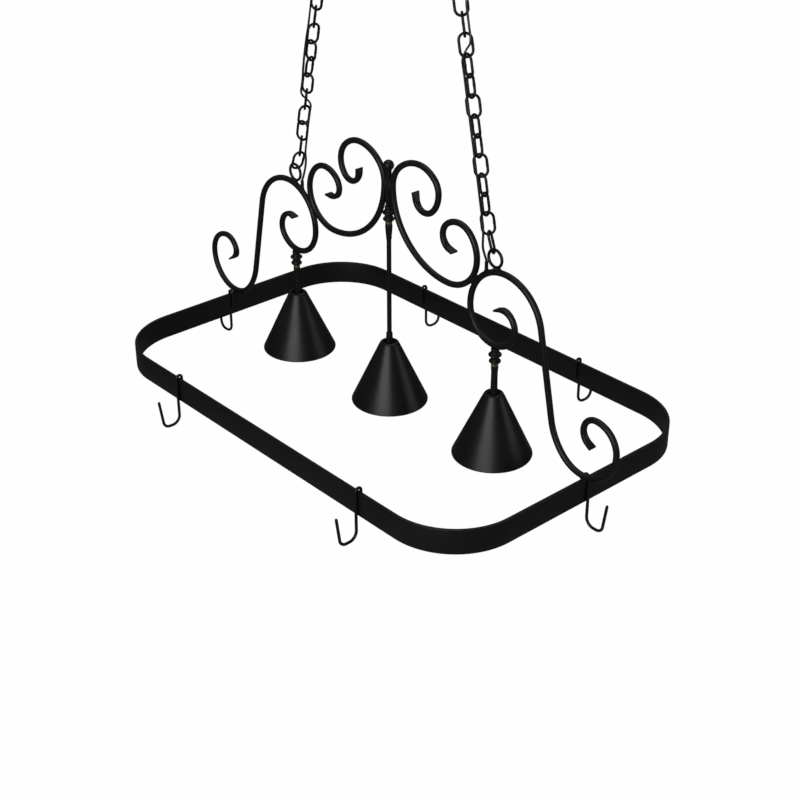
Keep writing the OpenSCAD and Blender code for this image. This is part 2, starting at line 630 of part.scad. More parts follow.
module hook_on_short(y, side) {
    translate([side * span, y, 0]) rotate([0, 0, side > 0 ? 0 : 180]) pot_hook();
}
module hook_front_left() { hook_on_long(hooks_front[0], -1); }
module hook_front_right() { hook_on_long(hooks_front[1], -1); }
module hook_back_left() { hook_on_long(hooks_back[0], 1); }
module hook_back_right() { hook_on_long(hooks_back[1], 1); }
module hook_side_left() { hook_on_short(hooks_side[0], -1); }
module hook_side_right() { hook_on_short(hooks_side[1], 1); }

rim_band();
scroll_outer_left();
scroll_outer_right();
scroll_inner_left();
scroll_inner_right();
finial_ball();
centre_post();
eye_ring_left();
eye_ring_right();
wire_inlet_left();
wire_inlet_right();
knuckle_left();
knuckle_centre();
knuckle_right();
brass_collar_left();
brass_collar_centre();
brass_collar_right();
stem_left();
stem_right();
ferrule_centre();
down_rod();
socket_cup_left();
socket_cup_centre();
socket_cup_right();
lampholder_left();
lampholder_centre();
lampholder_right();
shade_left();
shade_centre();
shade_right();
bulb_left();
bulb_centre();
bulb_right();
chain_left();
chain_right();
top_link_left();
top_link_right();
ceiling_loop_left();
ceiling_loop_right();
canopy_left();
canopy_right();
hanger_stud_left();
hanger_stud_right();
wire_bushing_left();
wire_bushing_right();
wire_entry_left();
wire_entry_right();
wire_bend_left();
wire_bend_right();
wire_left();
wire_right();
wire_tail_left();
wire_tail_right();
hook_front_left();
hook_front_right();
hook_back_left();
hook_back_right();
hook_side_left();
hook_side_right();
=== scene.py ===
import math
import bmesh
import bpy
from mathutils import Matrix, Quaternion, Vector, noise


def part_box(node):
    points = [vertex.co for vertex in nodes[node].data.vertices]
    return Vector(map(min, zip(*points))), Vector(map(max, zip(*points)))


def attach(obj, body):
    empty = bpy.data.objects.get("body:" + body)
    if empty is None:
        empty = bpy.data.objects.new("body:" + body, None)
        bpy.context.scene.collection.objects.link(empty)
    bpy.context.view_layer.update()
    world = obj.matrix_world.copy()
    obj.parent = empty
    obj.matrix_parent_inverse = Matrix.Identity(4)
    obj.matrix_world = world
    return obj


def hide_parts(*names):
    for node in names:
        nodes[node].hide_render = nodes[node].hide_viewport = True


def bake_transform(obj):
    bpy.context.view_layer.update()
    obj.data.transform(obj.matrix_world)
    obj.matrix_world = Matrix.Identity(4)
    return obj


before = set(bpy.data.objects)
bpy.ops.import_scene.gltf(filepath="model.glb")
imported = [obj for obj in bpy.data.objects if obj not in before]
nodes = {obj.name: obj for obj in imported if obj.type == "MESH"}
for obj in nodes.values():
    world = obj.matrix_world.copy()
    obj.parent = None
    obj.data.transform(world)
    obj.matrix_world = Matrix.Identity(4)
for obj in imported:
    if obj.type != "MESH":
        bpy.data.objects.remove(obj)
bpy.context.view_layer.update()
scene = bpy.context.scene

low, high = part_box("rim_band")
downFromTop, halfWall = 0.019, 0.0024
bandZ = high.z - downFromTop          # heights are measured from here
halfLength = high.x - halfWall        # from the middle to the middle of the bar's wall
halfWidth = high.y - halfWall
low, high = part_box("shade_right")
lightX = (low.x + high.x) / 2
low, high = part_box("eye_ring_right")
eye = Vector(((low.x + high.x) / 2, 0, (low.z + high.z) / 2))
low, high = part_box("hanger_stud_right")
studX = (low.x + high.x) / 2
bothSides = ((-1, "Left"), (1, "Right"))
print("frame loaded, band at", round(bandZ, 4))


# camera, at the photograph's angle
view = {"place": (1.58874, -1.38626, 1.16375), "turn": (60.5244, 0.0849, 48.3973), "lens": 67.36}
camera = bpy.data.objects.new("camera", bpy.data.cameras.new("camera"))
camera.data.lens = view["lens"]
camera.data.sensor_width = 36
camera.data.clip_end = 100
camera.location = Vector(view["place"]) + Vector((0, 0, bandZ))
camera.rotation_euler = [math.radians(a) for a in view["turn"]]
scene.collection.objects.link(camera)
scene.camera = camera


# materials
def material(name, color, rough, metal=0.0, level=0.5, **sockets):
    m = bpy.data.materials.new(name)
    m.use_nodes = True
    shader = m.node_tree.nodes["Principled BSDF"]
    shader.inputs["Base Color"].default_value = (*color, 1)
    shader.inputs["Roughness"].default_value = rough
    shader.inputs["Metallic"].default_value = metal
    shader.inputs["Specular IOR Level"].default_value = level
    for key, value in sockets.items():
        shader.inputs[key.replace("_", " ")].default_value = value
    return m


def addNode(m, kind, **settings):
    n = m.node_tree.nodes.new(kind)
    for key, value in settings.items():
        if key in n.inputs:
            n.inputs[key].default_value = value
        else:
            setattr(n, key, value)
    return n


def noiseOn(m, scale, detail=3.0, stretch=(1, 1, 1)):
    coords = addNode(m, "ShaderNodeTexCoord")
    turn = addNode(m, "ShaderNodeMapping")
    turn.inputs["Scale"].default_value = stretch
    grain = addNode(m, "ShaderNodeTexNoise", Scale=scale, Detail=detail)
    m.node_tree.links.new(coords.outputs["Object"], turn.inputs["Vector"])
    m.node_tree.links.new(turn.outputs["Vector"], grain.inputs["Vector"])
    return grain.outputs["Fac"]


noiseSpan = (0.3, 0.7)                # most of a noise's values lie in here


def ranged(m, value, lowTo, highTo):
    r = addNode(m, "ShaderNodeMapRange")
    for key, v in zip(("From Min", "From Max", "To Min", "To Max"), (*noiseSpan, lowTo, highTo)):
        r.inputs[key].default_value = v
    m.node_tree.links.new(value, r.inputs["Value"])
    return r.outputs["Result"]


def roughened(m, value):
    m.node_tree.links.new(value, m.node_tree.nodes["Principled BSDF"].inputs["Roughness"])


def bumped(m, value, strength, depth):
    bump = addNode(m, "ShaderNodeBump", Strength=strength, Distance=depth)
    m.node_tree.links.new(value, bump.inputs["Height"])
    m.node_tree.links.new(bump.outputs["Normal"], m.node_tree.nodes["Principled BSDF"].inputs["Normal"])


def colored(m, value, dark, pale):
    mix = addNode(m, "ShaderNodeMix", data_type="RGBA")
    mix.inputs["A"].default_value = (*dark, 1)
    mix.inputs["B"].default_value = (*pale, 1)
    m.node_tree.links.new(value, mix.inputs["Factor"])
    m.node_tree.links.new(mix.outputs["Result"], m.node_tree.nodes["Principled BSDF"].inputs["Base Color"])


coat = {"dark": (0.0042, 0.0042, 0.0044), "pale": (0.0068, 0.0067, 0.0068), "rough": (0.38, 0.46),
    "level": 0.42, "cloud": 14, "peel": 0.35}


def powderCoat(name, grainScale, grainDepth, rough):
    m = material(name, coat["dark"], rough[0], level=coat["level"])
    cloud = noiseOn(m, coat["cloud"], 4)
    orange = noiseOn(m, grainScale, 2)
    colored(m, ranged(m, cloud, 0, 1), coat["dark"], coat["pale"])
    roughened(m, ranged(m, cloud, rough[0], rough[1]))
    bumped(m, orange, coat["peel"], grainDepth)
    return m


ironCoat = powderCoat("ironCoat", 900, 0.00012, coat["rough"])
shadeCoat = powderCoat("shadeCoat", 1300, 0.00008, (0.34, 0.42))
chainCoat = powderCoat("chainCoat", 1400, 0.00007, (0.32, 0.42))
hookCoat = powderCoat("hookCoat", 1100, 0.0001, (0.34, 0.44))
brassTurned = material("brassTurned", (0.46, 0.33, 0.16), 0.34, metal=1.0)
roughened(brassTurned, ranged(brassTurned, noiseOn(brassTurned, 260, 3, (1, 1, 12)), 0.26, 0.42))
zincSteel = material("zincSteel", (0.56, 0.56, 0.58), 0.36, metal=1.0)
roughened(zincSteel, ranged(zincSteel, noiseOn(zincSteel, 240, 3), 0.3, 0.46))
blackPhenolic = material("blackPhenolic", (0.02, 0.018, 0.016), 0.5)
bumped(blackPhenolic, noiseOn(blackPhenolic, 500, 2), 0.3, 0.0001)
frostedGlass = material("frostedGlass", (0.86, 0.86, 0.84), 0.42, level=0.5, Transmission_Weight=0.35)
bumped(frostedGlass, noiseOn(frostedGlass, 900, 2), 0.15, 0.00005)
nickelThread = material("nickelThread", (0.6, 0.58, 0.54), 0.3, metal=1.0)
roughened(nickelThread, ranged(nickelThread, noiseOn(nickelThread, 300, 2), 0.24, 0.4))
clearFlex = material("clearFlex", (0.05, 0.048, 0.044), 0.22, level=0.6, Transmission_Weight=0.05)
flexCloud = ranged(clearFlex, noiseOn(clearFlex, 90, 2), 0, 1)
colored(clearFlex, flexCloud, (0.012, 0.0118, 0.011), (0.05, 0.048, 0.043))


# mesh helpers, sizes in millimetres
def place(x, y, z):
    # millimetres from the reference height to metres in the frame
    return Vector((x / 1000, y / 1000, bandZ + z / 1000))


def meshPiece(name, points, faces, finish, body, *replaced, slot="black_iron", sharp=32):
    mesh = bpy.data.meshes.new(name)
    mesh.from_pydata([tuple(p) for p in points], [], faces)
    mesh.materials.append(finish)
    b = bmesh.new()
    b.from_mesh(mesh)
    bmesh.ops.remove_doubles(b, verts=b.verts, dist=1e-6)
    bmesh.ops.recalc_face_normals(b, faces=b.faces)
    b.to_mesh(mesh)
    b.free()
    mesh.shade_smooth()
    mesh.set_sharp_from_angle(angle=math.radians(sharp))
    o = bpy.data.objects.new(name, mesh)
    scene.collection.objects.link(o)
    if body:                              # a piece that bends across a joint has none
        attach(o, body)
    if replaced:
        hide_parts(*replaced)
    return o


fillet = {"share": 0.45, "least": 0.02}   # of a straight's length; a smaller radius stays sharp


def filleted(outline, radii, steps=4):
    # rounds the corners of an open outline; radii is one number or one for each point
    out = [outline[0]]
    for i in range(1, len(outline) - 1):
        r = radii[i] if isinstance(radii, (list, tuple)) else radii
        p, q, s = (Vector(outline[j]) for j in (i - 1, i, i + 1))
        a, c = (p - q), (s - q)
        reach = min(r, a.length * fillet["share"], c.length * fillet["share"])
        if reach < fillet["least"]:
            out.append(tuple(q))
            continue
        a, c = q + a.normalized() * reach, q + c.normalized() * reach
        for k in range(steps + 1):
            t = k / steps
            out.append(tuple(a * (1 - t) ** 2 + q * 2 * t * (1 - t) + c * t * t))
    out.append(outline[-1])
    return out


def lathe(name, outline, x, z, finish, body, *replaced, segments=72, closed=False, slot="black_iron",
        sharp=32):
    # outline is (radius, height) from below to above; closed joins its two ends, for a wall
    points, faces = [], []
    rows = len(outline)
    for j in range(segments):
        a = 2 * math.pi * j / segments
        for r, h in outline:
            points.append(place(x + r * math.cos(a), r * math.sin(a), z + h))
    for j in range(segments):
        k = (j + 1) % segments
        for i in range(rows if closed else rows - 1):
            n = (i + 1) % rows
            faces.append((j * rows + i, k * rows + i, k * rows + n, j * rows + n))
    meshPiece(name, points, faces, finish, body, *replaced, slot=slot, sharp=sharp)


def sweptMesh(sections, closed=False):
    # joins rings of points, which are already in space, into a tube
    sides = len(sections[0])
    points = [p for ring in sections for p in ring]
    faces = []
    count = len(sections)
    for i in range(count if closed else count - 1):
        n = (i + 1) % count
        for j in range(sides):
            k = (j + 1) % sides
            faces.append((i * sides + j, n * sides + j, n * sides + k, i * sides + k))
    if not closed:
        faces.append(tuple(range(sides)))
        faces.append(tuple((count - 1) * sides + j for j in reversed(range(sides))))
    return points, faces


def headings(path, closed=False):
    out = []
    last = len(path) - 1
    for i in range(len(path)):
        a = path[i - 1] if i else (path[-1] if closed else path[0])
        b = path[i + 1] if i < last else (path[0] if closed else path[last])
        out.append((b - a).normalized())
    return out


def roundedEnd(distance, total, radius):
    # a rod's radius near its domed ends
    d = min(distance, total - distance)
    return radius * math.sqrt(max(0.0, 1 - (1 - min(1, d / radius)) ** 2)) if d < radius else radius


def distances(path):
    out = [0.0]
    for a, b in zip(path, path[1:]):
        out.append(out[-1] + (b - a).length)
    return out


# band
band = {"top": 19, "low": -21, "wall": 4.8, "cornerRadius": 112, "steps": 36, "edge": 0.9, "edgeSteps": 3}
corners = ((1, 1), (-1, 1), (-1, -1), (1, -1))


def bandPath():
    length, width = halfLength * 1000, halfWidth * 1000
    r = band["cornerRadius"] - band["wall"] / 2
    path = []
    for quarter, (sx, sy) in enumerate(corners):
        for i in range(band["steps"] + 1):
            a = math.pi / 2 * (quarter + i / band["steps"])
            path.append((sx * (length - r) + r * math.cos(a), sy * (width - r) + r * math.sin(a)))
    return [Vector((x, y, 0)) for x, y in path]


def barSection():
    w, e = band["wall"] / 2, band["edge"]
    out = []
    for quarter, (sx, sy) in enumerate(corners):
        for i in range(band["edgeSteps"] + 1):
            a = math.pi / 2 * (quarter + i / band["edgeSteps"])
            h = (band["top"] if sy > 0 else band["low"]) - sy * e
            out.append((sx * (w - e) + e * math.cos(a), h + e * math.sin(a)))
    return out


path = bandPath()
rings = []
for p, t in zip(path, headings(path, closed=True)):
    side = Vector((t.y, -t.x, 0))
    rings.append([place(*(p + side * u + Vector((0, 0, v)))) for u, v in barSection()])
points, faces = sweptMesh(rings, closed=True)
meshPiece("rimBand", points, faces, ironCoat, "rack", "rim_band")
print("band made")


# scrolls
# each leg is (radius, degrees turned), or (0, length) for a straight one
scroll = {"rod": 9.5, "tipWidth": 14, "tipThick": 3, "tipLength": 34, "sides": 28, "bend": 4,
    "taper": 1.6, "square": 0.78, "squareFrom": 0.6, "dent": 0.05, "dentLength": 5, "dentTurn": 0.7,
    "footZ": 23.9}
straightStep = 10
foot = (halfLength * 1000, scroll["footZ"])
footCurl = {"Left": [(57, 93), (42, 84), (26.5, 72), (16, 76), (0, 9.6)],
    "Right": [(57, 90), (40, 90), (22, 90), (22, 60), (0, 9)]}
outerRise = [(58, -45), (93, -33), (0, 135), (75.9, 78), (68, 90), (50, 90)]
outerCurl = {"Left": [(44, 47), (27, 51), (27, 62), (16.5, 34), (0, 8.8)],
    "Right": [(45.6, 46), (32.3, 35), (27, 67.5), (20.5, 48.5), (0, 9.2)]}
postTouch = (9.65, 342.9)
innerDown = [(112, 45), (126, 45), (0, -0.0635), (63, 45), (53, 45), (50, 45)]
innerCurl = {"Left": [(36.3, 47), (38.7, 42), (24.5, 38), (17.3, 105), (0, 9)],
    "Right": [(34, 45), (39, 38), (24, 45), (20.6, 83.5), (0, 9)]}
crestUp = [(44, -45), (63, -45), (48, -45)]
crestCurl = {"Left": [(36, -41), (34, -45), (21, -47), (19, -90), (0, 7)],
    "Right": [(29, -44), (41, -48), (24, -42), (19, -82), (0, 11.5)]}


def walk(start, heading, legs, bend):
    x, z = start
    out = [(x, z)]
    for r, s in legs:
        steps = max(1, math.ceil((abs(s) / bend) if r else abs(s) / straightStep))
        for i in range(1, steps + 1):
            if r:
                a, b = math.radians(heading), math.radians(heading + s * i / steps)
                q = math.copysign(r, s)
                out.append((x + q * (math.sin(b) - math.sin(a)), z + q * (math.cos(a) - math.cos(b))))
            else:
                a = math.radians(heading)
                out.append((x + s * i / steps * math.cos(a), z + s * i / steps * math.sin(a)))
        x, z = out[-1]
        heading += s if r else 0
    return out


def scrollPath(start, headingA, legsA, headingB, legsB, side):
    bend = scroll["bend"]
    flat = walk(start, headingA, legsA, bend)[::-1] + walk(start, headingB, legsB, bend)[1:]
    return [Vector((side * x, 0, z)) for x, z in flat]


def rodPiece(name, path, replaced):
    # round rod, hammered wide and thin at both ends
    at = distances(path)
    total = at[-1]
    rings = []
    for p, t, d in zip(path, headings(path), at):
        out = Vector((-t.z, 0, t.x))
        near = min(d, total - d)
        flat = (1 - min(1, near / scroll["tipLength"])) ** scroll["taper"]
        thick = (scroll["rod"] + flat * (scroll["tipThick"] - scroll["rod"])) / 2
        wide = (scroll["rod"] + flat * (scroll["tipWidth"] - scroll["rod"])) / 2
        # the hammered end is a blade with crisp edges
        square = 1 - scroll["square"] * flat ** scroll["squareFrom"]
        ring = []
        for j in range(scroll["sides"]):
            a = 2 * math.pi * j / scroll["sides"]
            c, s = math.cos(a), math.sin(a)
            c, s = math.copysign(abs(c) ** square, c), math.copysign(abs(s) ** square, s)
            spot = Vector((d / scroll["dentLength"], j * scroll["dentTurn"], total))
            dent = 1 + scroll["dent"] * flat * noise.noise(spot)
            ring.append(place(*(p + out * thick * c * dent + Vector((0, wide * s, 0)))))
        rings.append(ring)
    points, faces = sweptMesh(rings)
    meshPiece(name, points, faces, ironCoat, "rack", replaced, sharp=50)


for side, word in bothSides:
    outer = scrollPath(foot, 0, footCurl[word], 180, outerRise + outerCurl[word], side)
    inner = scrollPath(postTouch, 90, crestUp + crestCurl[word], -90, innerDown + innerCurl[word], side)
    rodPiece("scrollOuter" + word, outer, "scroll_outer_" + word.lower())
    rodPiece("scrollInner" + word, inner, "scroll_inner_" + word.lower())
print("scrolls made")


# finial, post, eye rings
post = {"radius": 4.75, "low": 307.5, "chamfer": 0.5, "ball": 8.5, "ballZ": 372.9, "steps": 24}
ball = [(0, post["low"]), (post["radius"] - post["chamfer"], post["low"]),
    (post["radius"], post["low"] + post["chamfer"])]
neck = post["ballZ"] - math.sqrt(post["ball"] ** 2 - post["radius"] ** 2)
ball += [(post["radius"], neck - 1), (post["radius"], neck)]
start = math.asin((neck - post["ballZ"]) / post["ball"])
for i in range(1, post["steps"] + 1):
    a = start + (math.pi / 2 - start) * i / post["steps"]
    ball.append((post["ball"] * math.cos(a), post["ballZ"] + post["ball"] * math.sin(a)))
lathe("finialPost", ball, 0, 0, ironCoat, "rack", "finial_ball", "centre_post", segments=48, sharp=60)

eyeRing = {"mean": 13.25, "wire": 4.5}


def ringPiece(name, centre, sizes, body, replaced, sides=24, steps=72):
    # a ring of round wire in the plane of the scrolls; centre in metres
    wire = sizes["wire"] / 2
    rings = []
    for i in range(steps):
        out = Vector((math.cos(2 * math.pi * i / steps), 0, math.sin(2 * math.pi * i / steps)))
        ring = []
        for j in range(sides):
            a = 2 * math.pi * j / sides
            away = out * (sizes["mean"] + wire * math.cos(a)) + Vector((0, wire * math.sin(a), 0))
            ring.append(centre + away / 1000)
        rings.append(ring)
    points, faces = sweptMesh(rings, closed=True)
    meshPiece(name, points, faces, ironCoat, body, replaced)


for side, word in bothSides:
    ringPiece("eyeRing" + word, Vector((side * eye.x, 0, eye.z)), eyeRing, "rack", "eye_ring_" + word.lower())


# lights
light = {"rim": -19, "cupTop": 99, "gap": 0.15, "sideTop": 156.58, "centreTop": 307.35, "centreDrop": 4.4,
    "knuckle": 24, "toCollar": 27.65, "ferruleTop": 279.55, "ferrule": 26}
downRod = {"radius": 3.7, "low": 86.6, "top": 263.3}
bulb = {"ballZ": 11.2, "radius": 22.5, "round": 115, "steps": 32, "threads": 6, "pitch": 2.6}

# outlines are (radius, height), from below to above
knuckleOutline = [(0, 0), (5.7, 0), (6.6, 1.2), (8.0, 1.9), (9.0, 3.4), (9.0, 4.8), (8.0, 6.3), (6.4, 7.2),
    (6.3, 9.5), (6.5, 11.6), (8.4, 12.3), (10.0, 13.8), (10.0, 15.5), (8.4, 17.0), (6.5, 17.8), (6.1, 20.4),
    (6.4, 24), (0, 24)]
collarOutline = [(0, 0), (5.4, 0), (5.4, 3.5), (0, 3.5)]
stemOutline = [(0, 0), (5.13, 0), (5.02, 9), (5.02, 20.1), (5.55, 26.6), (5.45, 29.6), (0, 29.6)]
cupOutline = [(0, 64), (17.5, 64), (17.5, 67), (13.4, 75), (13.4, 80.9), (11.5, 82.95), (10.1, 82.95),
    (9.0, 78.0), (6.3, 78.0), (5.7, 84), (5.13, 95.2), (5.13, 99), (0, 99)]
shadeOutline = [(11.2, 103), (11.9, 103), (14.2, 102), (15.75, 99.4), (61.2, 0.9), (61.5, 0.2), (61.4, -0.3),
    (60.8, -0.4), (60.4, 0.1), (60.3, 0.9), (14.8, 99.2), (11.8, 102.1), (11.2, 102.1)]
shadeRadii = [0, 0.4, 1.8, 2.6, 0.2, 0.3, 0.3, 0.3, 0.3, 0.3, 1.6, 1.0, 0]
ferruleOutline = [(0, 0), (4.2, 0), (4.5, 5), (5.7, 21), (5.5, 26), (0, 26)]
rodOutline = [(0, downRod["low"]), (downRod["radius"], downRod["low"]), (downRod["radius"], downRod["top"]),
    (0, downRod["top"])]
bulbGlass = [(0, bulb["ballZ"] - bulb["radius"])]
for i in range(1, bulb["steps"] + 1):
    a = -math.pi / 2 + math.radians(bulb["round"]) * i / bulb["steps"]
    bulbGlass.append((bulb["radius"] * math.cos(a), bulb["ballZ"] + bulb["radius"] * math.sin(a)))
bulbGlass += [(18.2, 24.6), (15.4, 29.8), (13.3, 34.4), (13.15, 37.4), (0, 37.4)]
bulbBase = [(0, 37.7), (12.9, 37.7)]
for i in range(bulb["threads"]):
    h = bulb["pitch"] * i
    bulbBase += [(13.2, 38.6 + h), (13.2, 39.3 + h), (12.3, 40.0 + h), (12.3, 40.6 + h)]
bulbBase += [(11, 55.0), (5.3, 56.2), (5.2, 57.5), (0, 57.6)]

for side, word in ((-1, "Left"), (0, "Centre"), (1, "Right")):
    x = side * lightX * 1000
    key = word.lower()
    top = light["sideTop"] if side else light["centreTop"]
    drop = 0 if side else -light["centreDrop"]
    lathe("knuckle" + word, filleted(knuckleOutline, 0.7), x, top - light["knuckle"], ironCoat, "rack",
        "knuckle_" + key, sharp=40)
    lathe("brassCollar" + word, filleted(collarOutline, 0.6), x, top - light["toCollar"], brassTurned, "rack",
        "brass_collar_" + key, slot="brass")
    if side:
        lathe("stem" + word, filleted(stemOutline, 0.8), x, light["cupTop"] + light["gap"], ironCoat, "rack",
            "stem_" + key)
    lathe("socketCup" + word, filleted(cupOutline, 0.7), x, drop, ironCoat, "rack", "socket_cup_" + key,
        sharp=40)
    lathe("shade" + word, filleted(shadeOutline, shadeRadii, 5), x, light["rim"] + drop, shadeCoat, "rack",
        "shade_" + key, segments=144, closed=True, sharp=40)
    lathe("bulbGlass" + word, bulbGlass, x, drop, frostedGlass, "rack", "bulb_" + key, slot="bulb_glass")
    lathe("bulbBase" + word, bulbBase, x, drop, nickelThread, "rack", slot="zinc_steel", sharp=50)
    nodes["lampholder_" + key].data.materials[0] = blackPhenolic
lathe("ferruleCentre", filleted(ferruleOutline, 0.8), 0, light["ferruleTop"] - light["ferrule"], ironCoat,
    "rack", "ferrule_centre")
lathe("downRod", rodOutline, 0, 0, ironCoat, "rack", "down_rod", segments=40)
print("lights made")


# node trees, for what repeats
def startTree(name, sizes):
    # a tree that takes a geometry, its named sizes and a finish
    tree = bpy.data.node_groups.new(name, "GeometryNodeTree")
    face = tree.interface
    face.new_socket("Geometry", in_out="INPUT", socket_type="NodeSocketGeometry")
    for key, value in sizes.items():
        face.new_socket(key, in_out="INPUT", socket_type="NodeSocketFloat").default_value = value
    face.new_socket("Finish", in_out="INPUT", socket_type="NodeSocketMaterial").default_value = ironCoat
    face.new_socket("Geometry", in_out="OUTPUT", socket_type="NodeSocketGeometry")
    return tree, tree.nodes.new("NodeGroupInput").outputs


def mathsIn(tree):
    # a function that adds a maths node; its values are numbers or sockets
    def maths(operation, *values):
        n = tree.nodes.new("ShaderNodeMath")
        n.operation = operation
        for i, v in enumerate(values):
            if isinstance(v, (int, float)):
                n.inputs[i].default_value = v
            else:
                tree.links.new(v, n.inputs[i])
        return n.outputs[0]

    return maths


def skinned(tree, curve, radius, profile, capped):
    # a tube along the curve, with its own radius at every point
    thick = tree.nodes.new("GeometryNodeSetCurveRadius")
    tree.links.new(curve, thick.inputs["Curve"])
    tree.links.new(radius, thick.inputs["Radius"])
    skin = tree.nodes.new("GeometryNodeCurveToMesh")
    skin.inputs["Fill Caps"].default_value = capped
    if "Scale" in skin.inputs:
        tree.links.new(radius, skin.inputs["Scale"])
    tree.links.new(thick.outputs["Curve"], skin.inputs["Curve"])
    tree.links.new(profile, skin.inputs["Profile Curve"])
    return skin.outputs["Mesh"]


def endTree(tree, geometry, finish):
    # copies made real, shaded smooth and given the finish
    for kind in ("RealizeInstances", "SetShadeSmooth", "SetMaterial"):
        n = tree.nodes.new("GeometryNode" + kind)
        tree.links.new(geometry, n.inputs["Geometry"])
        geometry = n.outputs["Geometry"]
    tree.links.new(finish, n.inputs["Material"])
    tree.links.new(geometry, tree.nodes.new("NodeGroupOutput").inputs["Geometry"])


# chains; the two lists are how far each link is turned about the chain, from below
chain = {"length": 35.8, "width": 22, "wire": 4, "gap": 0.3, "count": 13, "firstAt": 8.1, "sideStep": 6.2,
    "bendSteps": 12, "steps": 84, "sides": 14, "swell": 0.14, "swellReach": 1.6,
    "Left": [78, 138, 18, 78, 138, 18, 108, 8, 78, 138, 18, 78, 138, 78],
    "Right": [124, 48, 108, 168, 48, 108, 168, 48, 108, 168, 48, 138, 48, 115]}
ceilingLoop = {"mean": 12.5, "wire": 5}
pitch = chain["length"] - 2 * chain["wire"] - chain["gap"]
low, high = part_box("ceiling_loop_right")
pivotZ = low.z + ceilingLoop["wire"] / 2000
toPivot = Vector((eye.x - studX, 0, pivotZ - eye.z))
lean = math.atan2(toPivot.x, toPivot.z) - math.asin(chain["sideStep"] / 1000 / toPivot.length)
reach = chain["length"] - chain["wire"]
# the lowest link leans over to the chain's line
firstTilt = math.asin(chain["sideStep"] / (chain["firstAt"] + reach))
secondAt = (chain["firstAt"] + reach) * math.cos(firstTilt) - chain["wire"] - chain["gap"]


def linkTree():
    sizes = {key.capitalize(): chain[key] / 1000 for key in ("length", "width", "wire")}
    tree, given = startTree("bentLinks", {**sizes, "Weld Swell": chain["swell"]})
    new, link, maths = tree.nodes.new, tree.links.new, mathsIn(tree)
    meanWidth = maths("SUBTRACT", given["Width"], given["Wire"])
    meanLength = maths("SUBTRACT", given["Length"], given["Wire"])
    outline = new("GeometryNodeCurvePrimitiveQuadrilateral")
    link(meanWidth, outline.inputs["Width"])
    link(meanLength, outline.inputs["Height"])
    bend = new("GeometryNodeFilletCurve")
    bend.mode = "POLY"
    bend.inputs["Count"].default_value = chain["bendSteps"]
    bend.inputs["Limit Radius"].default_value = True
    link(outline.outputs["Curve"], bend.inputs["Curve"])
    link(maths("MULTIPLY", meanWidth, 0.4999), bend.inputs["Radius"])    # just under half the width
    even = new("GeometryNodeResampleCurve")
    even.inputs["Count"].default_value = chain["steps"]
    link(bend.outputs["Curve"], even.inputs["Curve"])
    # the weld swells the wire in the middle of one side, in a bell curve
    where, gap = new("GeometryNodeInputPosition"), new("ShaderNodeVectorMath")
    gap.operation = "DISTANCE"
    side = new("ShaderNodeCombineXYZ")
    link(maths("MULTIPLY", meanWidth, 0.5), side.inputs["X"])
    link(where.outputs[0], gap.inputs[0])
    link(side.outputs[0], gap.inputs[1])
    near = maths("DIVIDE", gap.outputs["Value"], chain["swellReach"] / 1000)
    bell = maths("POWER", 2.718, maths("MULTIPLY", maths("MULTIPLY", near, near), -1))
    swell = maths("ADD", maths("MULTIPLY", bell, given["Weld Swell"]), 1)
    ring = new("GeometryNodeCurvePrimitiveCircle")
    ring.inputs["Resolution"].default_value = chain["sides"]
    link(maths("MULTIPLY", given["Wire"], 0.5), ring.inputs["Radius"])
    stand = new("GeometryNodeTransform")
    stand.inputs["Rotation"].default_value = (math.pi / 2, 0, 0)
    link(skinned(tree, even.outputs["Curve"], swell, ring.outputs["Curve"], False), stand.inputs["Geometry"])
    turn = new("GeometryNodeInputNamedAttribute")
    turn.data_type = "FLOAT_VECTOR"
    turn.inputs["Name"].default_value = "linkTurn"
    copies = new("GeometryNodeInstanceOnPoints")
    link(given["Geometry"], copies.inputs["Points"])
    link(stand.outputs["Geometry"], copies.inputs["Instance"])
    link(turn.outputs["Attribute"], copies.inputs["Rotation"])
    endTree(tree, copies.outputs["Instances"], given["Finish"])
    return tree


linkNodes = linkTree()


def onChain(side, s, across=0, y=0):
    # a point beside a chain, in metres; s runs up from the eye ring and y to the back
    across = across - side * chain["sideStep"]
    x = side * (eye.x - s / 1000 * math.sin(lean)) + across / 1000 * math.cos(lean)
    z = eye.z + s / 1000 * math.cos(lean) + side * across / 1000 * math.sin(lean)
    return Vector((x, y / 1000, z))


def bakeNodes(o, tree, **inputs):
    # gives the object the mesh that the node tree makes of it
    layer = o.modifiers.new("nodes", "NODES")
    layer.node_group = tree
    for item in tree.interface.items_tree:
        if item.in_out == "INPUT" and item.name in inputs:
            layer[item.identifier] = inputs[item.name]
    bpy.context.view_layer.update()
    made = bpy.data.meshes.new_from_object(o.evaluated_get(bpy.context.evaluated_depsgraph_get()))
    o.modifiers.clear()
    o.data = made


def linksPiece(name, side, links, body, replaced):
    # links is a list of (middle, lean, turn)
    mesh = bpy.data.meshes.new(name)
    mesh.from_pydata([middle for middle, tilt, turn in links], [], [])
    turned = mesh.attributes.new("linkTurn", "FLOAT_VECTOR", "POINT")
    for i, (middle, tilt, turn) in enumerate(links):
        spin = Matrix.Rotation(-side * tilt, 4, "Y") @ Matrix.Rotation(math.radians(turn), 4, "Z")
        turned.data[i].vector = spin.to_euler()
    o = bpy.data.objects.new(name, mesh)
    scene.collection.objects.link(o)
    bakeNodes(o, linkNodes, Finish=chainCoat)
    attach(o, body)
    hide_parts(replaced)


